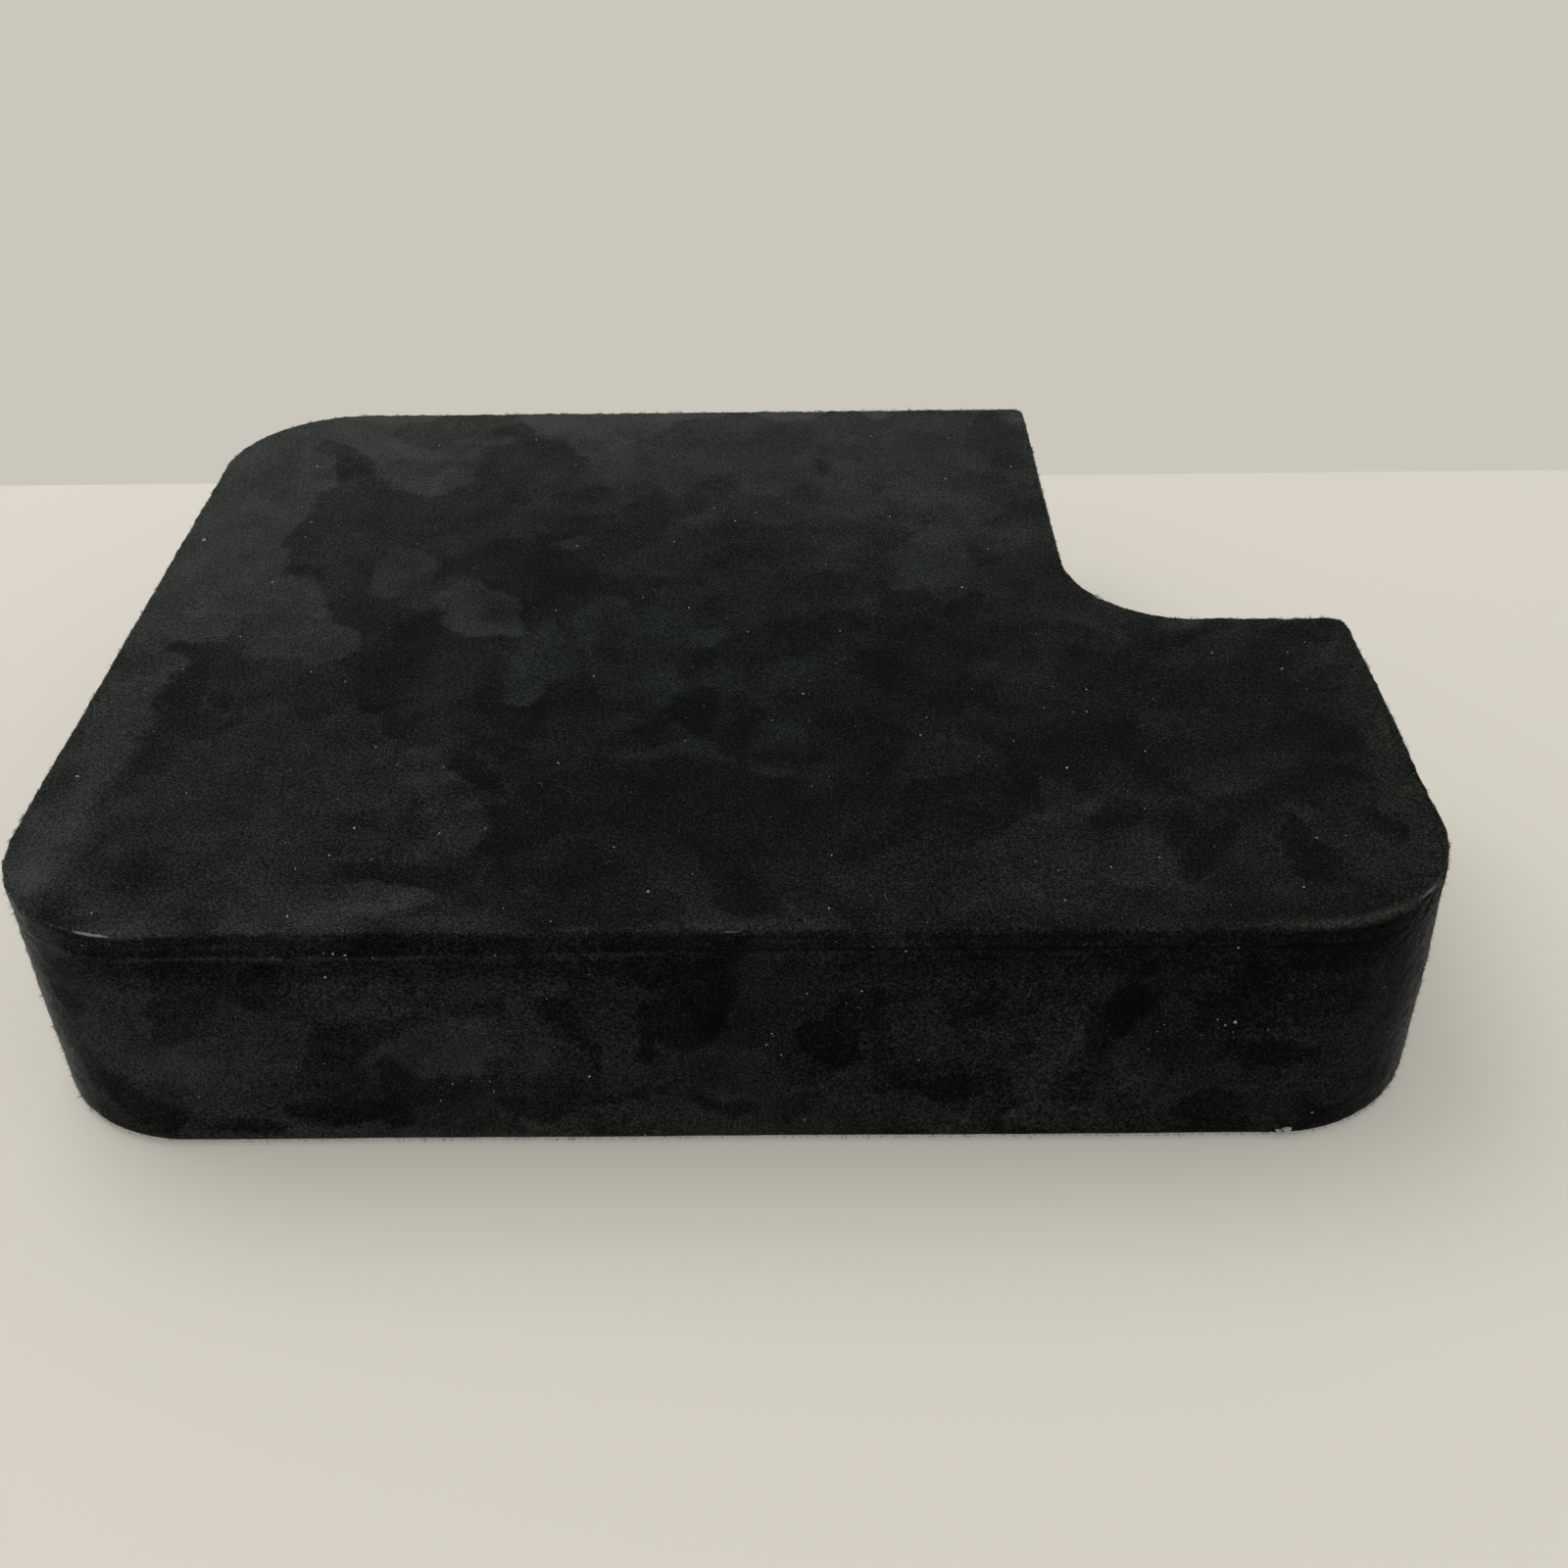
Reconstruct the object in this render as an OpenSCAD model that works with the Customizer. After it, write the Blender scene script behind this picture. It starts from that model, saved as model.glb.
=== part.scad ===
// Foam block with a notched corner, wrapped in synthetic suede.
//
// A firm foam core carries three pieces of suede: a top cover whose rim is turned
// down over the edge, a band round the wall that is turned under the foam, and a
// panel glued over the underside. The rim and the band meet at a fine seam just
// below the top edge, and the band's two ends meet at a butt joint in the back wall.
//
// Millimetres, +Z up, +Y towards the back. The origin is the middle of the box
// round the footprint, on the surface that the block stands on.

/* [Block] */
// Length of the block along X, over the suede
block_l = 200; // [160:1:320]
// Width of the block along Y, over the suede
block_w = 162; // [140:1:260]
// Height of the block, from the surface it stands on to its top
block_h = 39; // [24:0.5:90]
// Radius of the three large corners
corner_r = 23; // [14:0.5:30]

/* [Notch] */
// Length of the notch along X
notch_l = 44; // [40:1:60]
// Width of the notch along Y
notch_w = 83.5; // [50:0.5:100]
// Radius of the notch's inner corner
notch_r = 20.5; // [6:0.5:24]
// Radius of the two corners where the notch ends
notch_end_r = 2.5; // [2:0.1:6]

/* [Suede] */
// Thickness of the suede
suede_t = 1; // [0.6:0.1:1.3]
// Radius of the top edge, over the suede
top_edge_r = 1.5; // [1.4:0.1:2]
// Radius of the bottom edge, over the suede
bottom_edge_r = 1.5; // [1.4:0.1:2]
// Depth of the top cover's rim, down from the top
rim_h = 3; // [2.5:0.1:8]
// Width of the seam between the rim and the band
seam_w = 0.4; // [0.2:0.1:1]
// Width of the band's edge that is turned under the foam
turned_w = 10; // [6:0.5:12]
// Gap between the band's two ends at the butt joint
joint_w = 0.3; // [0.2:0.1:1]

/* [Base panel] */
// Thickness of the base panel
base_t = 0.5; // [0.5:0.1:2]
// Distance of the base panel's edge in from the wall
base_inset = 2; // [2:0.5:5]

/* [Hidden] */
$fn = 96;

suede_colour = "#1d2022";
foam_colour = "#2c2c2e";

// The band stops short of the rim by the seam
band_top = block_h - rim_h - seam_w;
// The butt joint lies in the middle of the back wall, between its two corners
joint_x = (corner_r - notch_l - notch_end_r) / 2;
// A cut runs this far past the faces that it opens
past = 1;

// What a round of radius r takes from a square corner at the origin, or adds to an inner one
module corner_piece(r) {
    if (r > 0)
        difference() {
            square(r);
            translate([r, r]) circle(r);
        }
}

// The footprint, moved in from the wall by inset
module footprint(inset = 0) {
    left = inset - block_l / 2;
    front = inset - block_w / 2;
    right = -left;
    back = -front;
    notch_x = right - notch_l;
    notch_y = back - notch_w;
    large_r = max(corner_r - inset, 0);
    end_r = max(notch_end_r - inset, 0);
    difference() {
        union() {
            translate([left, front]) square([right - left, notch_y - front]);
            translate([left, front]) square([notch_x - left, back - front]);
            translate([notch_x, notch_y]) corner_piece(notch_r + inset);
        }
        translate([left, front]) corner_piece(large_r);
        translate([right, front]) rotate(90) corner_piece(large_r);
        translate([left, back]) rotate(-90) corner_piece(large_r);
        translate([right, notch_y]) rotate(180) corner_piece(end_r);
        translate([notch_x, back]) rotate(180) corner_piece(end_r);
    }
}

// The corners of the footprint, counter-clockwise from front left: where each one is, the
// direction of the wall that leaves it, and its radius, which is negative at the inner corner
function corners(inset) =
    let (x = block_l / 2 - inset, y = block_w / 2 - inset)
    let (notch_x = x - notch_l, notch_y = y - notch_w)
    let (large_r = corner_r - inset, end_r = notch_end_r - inset)
    [
        [[-x, -y], 0, large_r],
        [[x, -y], 90, large_r],
        [[x, notch_y], 180, end_r],
        [[notch_x, notch_y], 90, -notch_r - inset],
        [[notch_x, y], 180, end_r],
        [[-x, y], 270, large_r],
    ];

// Runs a section right round the footprint. Its x is the distance in from the wall, its y the height
module run_round(inset) {
    places = corners(inset);
    for (i = [0 : len(places) - 1]) {
        here = places[i];
        next = places[(i + 1) % len(places)];
        along = [cos(here[1]), sin(here[1])];
        translate(here[0] + along * abs(here[2]))
            rotate([90, 0, 90 + here[1]])
                linear_extrude(norm(next[0] - here[0]) - abs(here[2]) - abs(next[2])) children();
        if (here[2] > 0)
            translate(here[0] + here[2] * [along[0] - along[1], along[0] + along[1]])
                rotate(here[1] + 180)
                    rotate_extrude(angle = 90) translate([here[2], 0]) mirror([1, 0]) children();
        else
            translate(here[0] - here[2] * [along[0] + along[1], along[1] - along[0]])
                rotate(here[1] + 90)
                    rotate_extrude(angle = 90) translate([-here[2], 0]) children();
    }
}

// A quarter of a disc of radius r: the round of an edge, with its flat sides inwards and down
module edge_section(r) {
    intersection() {
        translate([r, 0]) circle(r);
        square(r);
    }
}

// The block above its base panel, with its rounded edges, moved in from its outside by inset
module block_form(inset) {
    low = base_t + inset;
    high = block_h - inset;
    top_r = top_edge_r - inset;
    bottom_r = bottom_edge_r - inset;
    translate([0, 0, low + bottom_r])
        linear_extrude(high - low - top_r - bottom_r) footprint(inset);
    translate([0, 0, high - top_r]) {
        linear_extrude(top_r) footprint(inset + top_r);
        run_round(inset) edge_section(top_r);
    }
    translate([0, 0, low]) linear_extrude(bottom_r) footprint(inset + bottom_r);
    translate([0, 0, low + bottom_r])
        run_round(inset) mirror([0, 1]) edge_section(bottom_r);
}

// The part of the footprint's whole height between two levels
module level(low, high, inset = -past) {
    translate([0, 0, low]) linear_extrude(high - low) footprint(inset);
}

// Firm foam, with a shallow rebate round its underside where the band is turned under
module foam_core() {
    color(foam_colour) {
        block_form(suede_t);
        level(base_t, base_t + 2 * suede_t, turned_w);
    }
}

// Suede over the top, its rim turned down over the edge
module top_cover() {
    color(suede_colour)
        difference() {
            intersection() {
                block_form(0);
                level(block_h - rim_h, block_h + past);
            }
            block_form(suede_t);
        }
}

// A strip of suede round the wall, turned under the foam, with a butt joint at the back
module side_band() {
    color(suede_colour)
        difference() {
            intersection() {
                block_form(0);
                level(base_t - past, band_top);
            }
            block_form(suede_t);
            level(base_t - past, base_t + suede_t + past, turned_w);
            translate([joint_x - joint_w / 2, block_w / 2 - turned_w - past, 0])
                cube([joint_w, turned_w + 2 * past, block_h]);
        }
}

// Suede glued over the underside, hiding the turned-under edge
module base_panel() {
    color(suede_colour) level(0, base_t, base_inset);
}

foam_core();
top_cover();
side_band();
base_panel();
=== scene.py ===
# Foam block in synthetic suede: the suede with its nap, seam, rubbed edges and dust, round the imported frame
import math
import random

import bmesh
import bpy
import numpy as np
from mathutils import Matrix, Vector, noise
from mathutils.geometry import delaunay_2d_cdt


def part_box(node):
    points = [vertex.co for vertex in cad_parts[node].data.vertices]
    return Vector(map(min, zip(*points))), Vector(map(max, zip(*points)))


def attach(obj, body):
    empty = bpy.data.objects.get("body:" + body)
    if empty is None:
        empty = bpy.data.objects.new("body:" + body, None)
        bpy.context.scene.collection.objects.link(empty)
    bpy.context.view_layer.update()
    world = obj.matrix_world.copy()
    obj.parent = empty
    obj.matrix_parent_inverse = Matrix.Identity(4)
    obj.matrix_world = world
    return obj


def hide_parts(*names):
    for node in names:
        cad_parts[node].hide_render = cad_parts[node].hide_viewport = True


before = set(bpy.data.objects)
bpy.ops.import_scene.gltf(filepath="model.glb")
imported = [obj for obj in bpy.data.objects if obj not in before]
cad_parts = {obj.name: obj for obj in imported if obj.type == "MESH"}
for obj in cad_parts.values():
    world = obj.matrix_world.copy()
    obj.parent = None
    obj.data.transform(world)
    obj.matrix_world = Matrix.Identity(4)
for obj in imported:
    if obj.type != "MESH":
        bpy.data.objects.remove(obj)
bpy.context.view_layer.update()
mm = 0.001

# Sizes from the frame, in millimetres
coverLow, coverHigh = [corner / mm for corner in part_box("top_cover")]
bandLow, bandHigh = [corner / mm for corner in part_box("side_band")]
_, coreHigh = [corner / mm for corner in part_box("foam_core")]
baseLow, baseHigh = [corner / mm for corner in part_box("base_panel")]
blockL, blockW, blockH = coverHigh.x * 2, coverHigh.y * 2, coverHigh.z
suedeT = coverHigh.z - coreHigh.z
baseInset = coverHigh.x - baseHigh.x

block = {
    "cornerR": 23.0,  # the three large corners
    "notchL": 44.0,
    "notchW": 83.5,
    "notchR": 20.5,  # the notch's inner corner
    "notchEndR": 2.5,  # the two corners where the notch ends
    "edgeR": 1.5,  # top and bottom edges
    "turnedW": 10.0,  # the band's edge under the foam
    "jointW": 0.3,  # between the band's two ends
    "coverOut": (0.4, 9, (0.3, 0.7, 1.3, 2.1)),  # steps up the rim and round the edge, places in from it
    "coverIn": (2.0, 3, (2.1,)),
    "bandOut": (6, 6, 0.8, 0.3, 4),  # steps under the foam, round the edge, up, near the seam, round the lip
    "bandIn": (2, 3, 6.0, 3.0, 2),
    "nearSeam": 3,  # how far down from the seam the finer steps go
    "step": 0.8,  # between stations along the wall
    "arcSteps": 40,  # round a large corner
    "smallArcSteps": 6,  # round a notch end
    "flatStep": (0.85, 6.0, 5.0),  # between points on the top cover's flat, its inside and the base panel
    "flatRows": 0.87,  # and between their rows, as a share of that
    "flatClear": 0.7,  # and from the ring round them
    "eased": 0.1,  # the base panel's cut edge
}


# The outline, and what runs along it

def cornersAt(inset):  # counter-clockwise from front left: place, heading of the next wall, radius
    x, y = blockL / 2 - inset, blockW / 2 - inset
    notchX, notchY = x - block["notchL"], y - block["notchW"]
    large = max(block["cornerR"] - inset, 0)
    small = max(block["notchEndR"] - inset, 0)
    return [
        ((-x, -y), 0, large),
        ((x, -y), 90, large),
        ((x, notchY), 180, small),
        ((notchX, notchY), 90, -block["notchR"] - inset),  # below 0: an inner corner
        ((notchX, y), 180, small),
        ((-x, y), 270, large),
    ]


def heading(degrees):
    return np.array([math.cos(math.radians(degrees)), math.sin(math.radians(degrees))])


def ringAt(inset):  # the outline moved in by inset, from the front's middle: its points and outward normals
    corners, outer = cornersAt(inset), cornersAt(0)
    points, normals = [], []
    for i, (corner, leaves, radius) in enumerate(corners):
        arrives = corners[i - 1][1]
        turn = (leaves - arrives + 180) % 360 - 180
        centre = np.array(corner) - heading(arrives) * abs(radius) - heading(arrives - 90) * radius
        steps = block["arcSteps"] if abs(outer[i][2]) > 10 else block["smallArcSteps"]
        for k in range(steps):
            out = heading(arrives - 90 + turn * k / steps)
            points.append(centre + out * radius)
            normals.append(out)
        following, outerNext = corners[(i + 1) % len(corners)], outer[(i + 1) % len(corners)]
        outerLength = math.dist(outer[i][0], outerNext[0]) - abs(outer[i][2]) - abs(outerNext[2])
        start = np.array(corner) + heading(leaves) * abs(radius)
        end = np.array(following[0]) - heading(leaves) * abs(following[2])
        count = 2 * round(outerLength / block["step"] / 2)
        for k in range(count):
            points.append(start + (end - start) * k / count)
            normals.append(heading(leaves - 90))
        if i == 0:
            frontMiddle = steps + count // 2
    return np.roll(points, -frontMiddle, axis=0), np.roll(normals, -frontMiddle, axis=0)


wallPoints, wallNormals = ringAt(0)
wallSteps = np.linalg.norm(np.roll(wallPoints, -1, axis=0) - wallPoints, axis=1)
wallRun = np.concatenate([[0], np.cumsum(wallSteps)])  # how far along each station is, the whole way last
wallLength = wallRun[-1]
print(f"outline: {len(wallPoints)} stations, {wallLength:.0f} mm round")


def alongWall(run):  # the same distance, from minus half to half of the way round, 0 at the front's middle
    return (np.asarray(run) + wallLength / 2) % wallLength - wallLength / 2


def lifted(flat, height):  # places at one height
    return np.column_stack([flat, np.full(len(flat), height)])


def insideOutline(points, inset):  # true for points inside the outline moved in by inset
    ring, _ = ringAt(inset)
    after = np.roll(ring, -1, axis=0)
    inside = np.zeros(len(points), bool)
    for (x1, y1), (x2, y2) in zip(ring, after):
        if y1 != y2:
            crosses = (y1 > points[:, 1]) != (y2 > points[:, 1])
            inside ^= crosses & (points[:, 0] < x1 + (points[:, 1] - y1) * (x2 - x1) / (y2 - y1))
    return inside


def linked(name, data):  # an object of that data, in the scene
    made = bpy.data.objects.new(name, data)
    bpy.context.scene.collection.objects.link(made)
    return made


def newPiece(name, points, faces):  # the same from points in millimetres
    mesh = bpy.data.meshes.new(name)
    mesh.from_pydata((np.asarray(points) * mm).tolist(), [], faces)
    return linked(name, mesh)


# Noise and soft steps on arrays, in millimetres

def cloud(points, size, seed=0):  # smooth noise from -1 to 1, with lumps of about that size
    shift = Vector((seed * 17.3, seed * -9.1, seed * 5.7))
    return np.array([noise.noise(Vector(p) / size + shift) for p in points])


def smooth(x):
    x = np.clip(x, 0, 1)
    return x * x * (3 - 2 * x)


def ramp(x, low, high):  # 0 at low to 1 at high
    return smooth((np.asarray(x) - low) / (high - low))


def hump(x, middle, half):  # 1 at the middle, 0 from half away
    return smooth(1 - np.abs(np.asarray(x) - middle) / half)


def stretch(place, reach):  # 1 on a stretch of the wall, from where it starts, is full, fades and ends
    starts, full, fades, ends = reach
    return ramp(place, starts, full) * ramp(place, ends, fades)


# How the nap lies: brush strokes over each other, from 0, brushed dark, to 1, brushed light; painted light
# and shade are added to the same tone

nap = {
    "warps": ((2.8, 16.0), (1.5, 5.0), (0.7, 2.0)),  # how far a stroke's edge wanders, and over what
    "uneven": 0.36,  # how far a stroke is from an oval, and the size of its bays
    "unevenSize": 7.0,
    "soft": (0.05, 0.85),  # the width of a crisp stroke's edge, and what softness adds
    "fade": 0.95,  # how much crisper a stroke is on its left side and at its ends than on its right
    "cover": 0.95,  # how far a stroke hides what it lies over
    "clouds": ((0.07, 40, 7), (0.05, 12, 8)),  # the ground's unevenness: how much, its size, its seed
    "topGround": 0.3,
    "topSidesNapAndLight": ((0.12, -30, -80), (0.2, -70, -98), (0.12, 84, 100)),  # lighter by this from one x to another: partly the nap, partly painted light towards the sides
    "topBackNapAndLight": ((0.34, -30, 84), (0.24, 66, 78)),  # and from one y to another: partly the nap, partly painted light falling from behind
    "topFrontLeft": 0.2,
    "wallGround": 0.42,
    "wallFootBounce": 0.12,  # how much lighter the wall is towards its foot: painted light bouncing up from the floor
    "wallLeft": 0.05,
    "wallRight": -0.07,
    "strayTop": 190,  # strokes at random below the placed ones
    "strayWall": 260,
    "strayTone": 0.11,
    "rimDark": 0.17,  # the rim lies brushed down
    "bandDark": (0.04, 0.14),  # so does the band below it, everywhere and along the front
    "edgeNapAndHighlight": 0.12,  # the nap along the top edge stands up, and a painted highlight runs along it
    "beadRubAndSheen": 0.55,  # and is rubbed light on the bead, with a painted sheen highlight there
    "ridgeHighlight": 0.17,  # a painted highlight on the band's proud edge
    "cornerGrazingLight": 0.32,  # painted light grazing the nap at the front's left corner
    "cornerTop": 0.3,  # lighter just under the top at the front's left corner
    # painted shade in the seam between the cover and the band
    "seamShade": 0.18,
    "gapeShade": 0.3,  # painted shade where the seam stands open
    "threads": 0.16,  # uneven lines along the rim and the seam
    "threadLong": 9.0,
    "threadHigh": 0.7,
    "leftGround": (-180, -100, -60, 0),  # stretches of the wall
    "rightGround": (20, 50, 90, 105),
    "front": (-104, -90, 112, 130),
    "ridge": (-88, -70, -16, 6),
    "leftCorner": (-128, -116, -97, -84),
    "leftTop": (-124, -110, -91, -81),
    "rightCorner": (80, 94, 118, 128),
    "rightWall": (92, 100, 112, 124),
    "seed": 7,
}

# Each stroke on the top: x, y, half length, half width, heading, tone, softness of its edge
topStrokes = [
    (20, 60, 46, 22, 0, 0.62, 0.9), (-86, 60, 14, 30, 90, 0.8, 0.8), (-92, 30, 46, 13, 270, 0.74, 0.7),
    (-60, 34, 16, 14, 20, 0.5, 0.8), (-74, 70, 17, 9, 150, 0.84, 0.35), (-57, 72, 12, 9, 0, 0.66, 0.5),
    (-78, 62, 9, 3.2, 125, 0.56, 0.4), (-72, 50, 13, 4.2, 125, 0.46, 0.5),
    (-75, 32, 22, 5.5, 90, 0.52, 0.6), (-62, 54, 12, 7, 145, 0.74, 0.35), (-56, 51, 5, 3.5, 100, 0.82, 0.4),
    (-41, 58, 17, 10, 100, 0.5, 0.4), (-27, 70, 13, 8, 240, 0.82, 0.35), (-25, 60, 8, 4.5, 100, 0.72, 0.4),
    (-30, 43, 7, 4.5, 20, 0.42, 0.5), (-12, 40, 13, 4, 190, 0.44, 0.6), (-20, 30, 12, 6, 70, 0.38, 0.6),
    (2, 29, 8, 5, 170, 0.38, 0.6), (15, 54, 3.2, 2.4, 90, 0.46, 0.8), (12, 44, 5, 3, 90, 0.52, 0.8),
    (49, 66, 13, 6, 100, 0.48, 0.6), (50, 16, 7, 4.5, 60, 0.4, 0.8), (33, 14, 11, 6, 60, 0.54, 0.6),
    (-30, 25, 4, 2.4, 30, 0.52, 0.4), (-57, 16, 10, 5, 85, 0.62, 0.35), (-40, 23, 9, 4.5, 0, 0.36, 0.6),
    (-74, 15, 5, 2.6, 130, 0.4, 0.5), (-84, 6, 17, 11, 185, 0.72, 0.5), (-72, -7, 13, 7.5, 320, 0.62, 0.4),
    (-85, -10, 7, 3, 170, 0.4, 0.4), (-70, -19, 5, 2.4, 170, 0.36, 0.5), (-76, -17, 12, 7, 0, 0.46, 0.8),
    (-85, -38, 26, 4.2, 270, 0.36, 0.35), (-95, -42, 32, 5, 270, 0.68, 0.4),
    (-65, -52, 22, 24, 0, 0.48, 0.9), (-54, -17, 16, 5.5, 95, 0.27, 0.45),
    (-44, -18, 11, 8, 250, 0.38, 0.4), (-34, 11, 9, 9, 0, 0.32, 0.6), (-49, 5, 10, 6, 310, 0.54, 0.5),
    (-43, 1, 11, 6.2, 128, 0.68, 0.12), (-32, -15, 13, 5, 262, 0.52, 0.5), (-14, -12, 16, 8, 90, 0.4, 0.5),
    (-11, 6, 11, 6, 145, 0.34, 0.5), (-6, -8, 3.4, 3.4, 60, 0.5, 0.5), (-46, -37, 8, 4.4, 250, 0.42, 0.4),
    (-43, -44, 9, 5, 122, 0.56, 0.4), (-38, -57, 9, 4.6, 112, 0.5, 0.35), (-35, -46, 8, 3, 120, 0.18, 0.35),
    (-29, -60, 6, 4.4, 60, 0.17, 0.3), (-12, -52, 22, 11, 10, 0.24, 0.7), (-6, -29, 7, 5.5, 255, 0.1, 0.3),
    (-30, -71, 7, 2.6, 90, 0.24, 0.5), (-52, -74, 15, 3.4, 0, 0.52, 0.8),
    (-48, -58, 9, 2.6, 160, 0.34, 0.5), (4, -67, 10, 7, 80, 0.25, 0.6), (-20, -77, 6, 2.2, 0, 0.26, 0.5),
    (27, -70, 12, 8, 10, 0.37, 0.7), (29, 5, 6, 4, 60, 0.3, 0.6), (38, 1, 6, 3.4, 60, 0.26, 0.5),
    (33, -16, 14, 6, 80, 0.26, 0.7), (33, -26, 5, 3, 170, 0.22, 0.5), (48, -16, 12, 6, 70, 0.35, 0.6),
    (17, -38, 8, 6, 90, 0.24, 0.6), (30, -42, 9, 5.5, 210, 0.36, 0.5), (29, -50, 4.4, 3, 20, 0.18, 0.6),
    (42, -49, 9, 3, 82, 0.16, 0.35), (47, -49, 4.4, 3, 80, 0.38, 0.4), (54, -56, 5, 3.6, 60, 0.22, 0.5),
    (57, -66, 10, 6, 160, 0.42, 0.5), (73, -23, 9, 2.6, 175, 0.22, 0.5), (76, -13, 9, 4, 30, 0.38, 0.5),
    (70, -34, 10, 5, 0, 0.36, 0.7), (88, -36, 6, 4.4, 110, 0.2, 0.5), (72, -48, 9, 5, 30, 0.38, 0.5),
    (86, -49, 8, 4, 20, 0.26, 0.6), (66, -64, 6.5, 2.6, 55, 0.18, 0.4), (79, -64, 6, 3, 100, 0.18, 0.4),
    (72, -67, 4, 3, 0, 0.36, 0.4), (88, -64, 8, 5, 100, 0.38, 0.6), (52, -76, 12, 3, 0, 0.36, 0.6),
    (97, -42, 34, 3.4, 90, 0.46, 0.8),
]

# Each stroke on the wall: place along it from the front's middle, height, and the same
wallStrokes = [
    (-80, 19.5, 12, 10, 0, 0.66, 0.6), (-72, 26.5, 9, 4.5, 60, 0.4, 0.4),
    (-64, 21.5, 9, 6.5, 200, 0.6, 0.35), (-61, 30.5, 4.5, 3.4, 60, 0.32, 0.4),
    (-49, 28.5, 11, 4.4, 8, 0.56, 0.35), (-31, 29.5, 11, 4.2, 0, 0.52, 0.4),
    (-22, 30, 3, 2.4, 90, 0.62, 0.3), (-40, 17.5, 12, 5.5, 190, 0.63, 0.35),
    (-27, 20.5, 7, 3.8, 80, 0.55, 0.3), (-47.5, 22, 5.5, 1.8, 5, 0.38, 0.4),
    (-55.5, 15.5, 5, 3.6, 60, 0.37, 0.4), (-46, 12.5, 4.6, 2.8, 115, 0.33, 0.35),
    (-21, 24, 5, 3, 110, 0.34, 0.3), (-19, 17.5, 5, 1.1, 92, 0.32, 0.3), (-5, 26.5, 9, 7, 75, 0.22, 0.3),
    (-3, 27.5, 5, 3.4, 80, 0.15, 0.4), (-13, 28.5, 4.4, 2.2, 0, 0.42, 0.3),
    (-14.5, 18.5, 7, 3.6, 280, 0.56, 0.2), (-10.2, 17, 6, 1.3, 105, 0.24, 0.3),
    (-3.5, 14, 6, 4.6, 20, 0.46, 0.3), (-16, 9.9, 10, 1, 0, 0.32, 0.3), (-82, 8, 6, 3.6, 150, 0.26, 0.35),
    (-74, 5.5, 3.4, 2.4, 0, 0.5, 0.5), (-68, 4.5, 4.4, 2, 0, 0.36, 0.4), (-56, 8, 7, 2.6, 170, 0.29, 0.35),
    (-47, 6.5, 3.4, 3.2, 90, 0.3, 0.4), (-36, 4.5, 7, 2, 0, 0.5, 0.4),
    (-28, 7.9, 6.5, 2.4, 175, 0.36, 0.35), (-14, 5.5, 7.5, 3.2, 5, 0.58, 0.4),
    (-4, 4.5, 5, 2.2, 0, 0.6, 0.3), (-1, 8.5, 5, 1.5, 160, 0.33, 0.3), (5.5, 26, 6.5, 3.2, 265, 0.5, 0.2),
    (16, 30.5, 6, 2.2, 5, 0.42, 0.4), (35, 29.5, 14, 4, 0, 0.37, 0.5), (13.5, 19.5, 6, 5, 120, 0.2, 0.25),
    (16, 26, 3, 1.8, 80, 0.26, 0.3), (22, 16, 5, 1.5, 128, 0.25, 0.25), (26, 21, 6, 4.4, 300, 0.47, 0.2),
    (36, 20.5, 5, 3.4, 0, 0.38, 0.5), (45, 21.5, 5.4, 4.6, 265, 0.47, 0.2),
    (42, 14, 5.5, 4.4, 250, 0.48, 0.3), (46, 10.5, 4.4, 1.7, 0, 0.36, 0.4),
    (22, 6.5, 8, 4, 350, 0.54, 0.35), (31.5, 11.5, 4.4, 4.2, 70, 0.16, 0.25),
    (45, 5.5, 9, 2.8, 4, 0.56, 0.35), (53.5, 31.5, 4, 3.4, 90, 0.27, 0.4), (54, 24, 4, 3.2, 85, 0.13, 0.25),
    (56, 16, 3.2, 2, 0, 0.48, 0.25), (69, 26.5, 10, 6, 0, 0.24, 0.5), (62, 29, 4, 2.4, 0, 0.37, 0.4),
    (66, 13, 6.5, 2.6, 0, 0.42, 0.4), (74.5, 16.5, 5.5, 2.8, 10, 0.2, 0.3),
    (57, 7.5, 4, 3.4, 80, 0.47, 0.4), (66.5, 6.5, 5.4, 3.8, 0, 0.27, 0.3), (76, 7.5, 4.4, 4, 60, 0.44, 0.4),
    (81, 21, 3.4, 3, 80, 0.45, 0.4), (80, 30.5, 5.5, 3.4, 85, 0.29, 0.4),
    (86, 11.5, 7.5, 4.4, 95, 0.45, 0.5), (89, 26.5, 8, 3.4, 90, 0.4, 0.5),
]

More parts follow.
